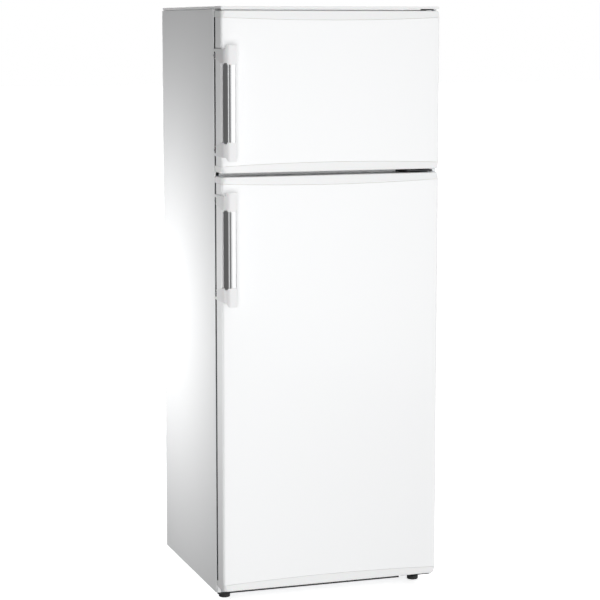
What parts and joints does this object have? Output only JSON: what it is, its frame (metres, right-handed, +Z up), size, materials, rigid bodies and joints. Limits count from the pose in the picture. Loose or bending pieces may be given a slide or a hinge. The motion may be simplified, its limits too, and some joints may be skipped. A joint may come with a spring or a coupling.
{
  "type": "top freezer refrigerator",
  "caption": "Upright two-door refrigerator with the freezer on top, right-hinged doors with bar handles, shelves, door bins and a crisper drawer.",
  "frame": {"origin": "centre of the bounding box on the floor", "axes": "+Z up, the doors' fronts face -Y, the hinges are on the +X side"},
  "size_m": [0.5552, 0.59, 1.435],
  "materials": {
    "white_steel": "smooth white paint",
    "white_plastic": "satin moulded white",
    "liner_plastic": "vacuum-formed white",
    "foam": "rigid expanded foam",
    "galvanised": "zinc-coated sheet",
    "bar_metal": "polished",
    "black_steel": "satin black",
    "black_plastic": "moulded black",
    "seal_rubber": "soft grey vinyl",
    "shelf_glass": "tempered",
    "clear_plastic": "clear moulded",
    "copper": "drawn copper",
    "aluminium": "rolled"
  },
  "bodies": {
    "cabinet": {"cabinet_shell": "white_steel", "top_panel": "white_plastic", "base_pan": "galvanised", "back_panel": "galvanised", "fridge_liner": "liner_plastic", "freezer_liner": "liner_plastic", "mullion_rail": "white_steel", "cabinet_foam": "foam", "top_hinge": "black_steel", "middle_hinge": "black_steel", "bottom_hinge": "black_steel", "condenser_coil": "black_steel", "compressor": "black_steel", "terminal_cover": "black_plastic", "compressor_mount": "galvanised", "drip_tray": "black_plastic", "filter_drier": "copper", "suction_pipe": "copper", "power_inlet": "black_plastic", "evaporator_plate": "aluminium", "freezer_shelf": "clear_plastic", "glass_shelf_1": "shelf_glass", "glass_shelf_2": "shelf_glass", "glass_shelf_3": "shelf_glass", "crisper_cover": "shelf_glass", "control_housing": "white_plastic", "lamp_cover": "clear_plastic"},
    "freezer_door": {"freezer_door_skin": "white_steel", "freezer_door_top_cap": "white_plastic", "freezer_door_bottom_cap": "white_plastic", "freezer_door_foam": "foam", "freezer_door_liner": "liner_plastic", "freezer_door_gasket": "seal_rubber", "freezer_door_bin": "clear_plastic", "freezer_handle_bracket_upper": "white_plastic", "freezer_handle_screw_upper": "bar_metal", "freezer_handle_bracket_lower": "white_plastic", "freezer_handle_screw_lower": "bar_metal", "freezer_handle_bar": "bar_metal"},
    "fridge_door": {"fridge_door_skin": "white_steel", "fridge_door_top_cap": "white_plastic", "fridge_door_bottom_cap": "white_plastic", "fridge_door_foam": "foam", "fridge_door_liner": "liner_plastic", "fridge_door_gasket": "seal_rubber", "fridge_door_bin_bottle": "clear_plastic", "fridge_door_bin_middle": "clear_plastic", "fridge_door_bin_upper": "clear_plastic", "fridge_handle_bracket_upper": "white_plastic", "fridge_handle_screw_upper": "bar_metal", "fridge_handle_bracket_lower": "white_plastic", "fridge_handle_screw_lower": "bar_metal", "fridge_handle_bar": "bar_metal"},
    "crisper": {"crisper_drawer": "clear_plastic"},
    "thermostat_knob": {"thermostat_knob": "white_plastic"},
    "door_switch": {"door_switch": "white_plastic"},
    "rear_roller_left": {"rear_roller_left": "black_plastic"},
    "rear_roller_right": {"rear_roller_right": "black_plastic"},
    "front_foot_left": {"front_foot_left": "black_plastic"},
    "front_foot_right": {"front_foot_right": "black_plastic"}
  },
  "joints": [
    {"name": "freezer_door_hinge", "type": "hinge", "parent": "cabinet", "child": "freezer_door", "pos_m": [0.26865, -0.23445, 1.235], "axis": [0, 0, 1], "range_deg": [0, 120]},
    {"name": "fridge_door_hinge", "type": "hinge", "parent": "cabinet", "child": "fridge_door", "pos_m": [0.26865, -0.23445, 0.5355], "axis": [0, 0, 1], "range_deg": [0, 120]},
    {"name": "crisper_slide", "type": "slide", "parent": "cabinet", "child": "crisper", "axis": [0, -1, 0], "range_m": [0, 0.02]},
    {"name": "thermostat_turn", "type": "hinge", "parent": "cabinet", "child": "thermostat_knob", "pos_m": [0.00265, -0.07975, 0.9667], "axis": [0, -1, 0], "range_deg": [-150, 150]},
    {"name": "door_switch_press", "type": "slide", "parent": "cabinet", "child": "door_switch", "axis": [0, 1, 0], "range_m": [0, 0.004], "stiffness_N_per_m": 150},
    {"name": "rear_roller_left_spin", "type": "hinge", "parent": "cabinet", "child": "rear_roller_left", "pos_m": [-0.23735, 0.25055, 0.016], "axis": [1, 0, 0], "continuous": true},
    {"name": "front_foot_left_turn", "type": "hinge", "parent": "cabinet", "child": "front_foot_left", "pos_m": [-0.24535, -0.16945, 0.02], "axis": [0, 0, 1], "continuous": true},
    {"name": "rear_roller_right_spin", "type": "hinge", "parent": "cabinet", "child": "rear_roller_right", "pos_m": [0.24265, 0.25055, 0.016], "axis": [1, 0, 0], "continuous": true},
    {"name": "front_foot_right_turn", "type": "hinge", "parent": "cabinet", "child": "front_foot_right", "pos_m": [0.25065, -0.16945, 0.02], "axis": [0, 0, 1], "continuous": true}
  ]
}
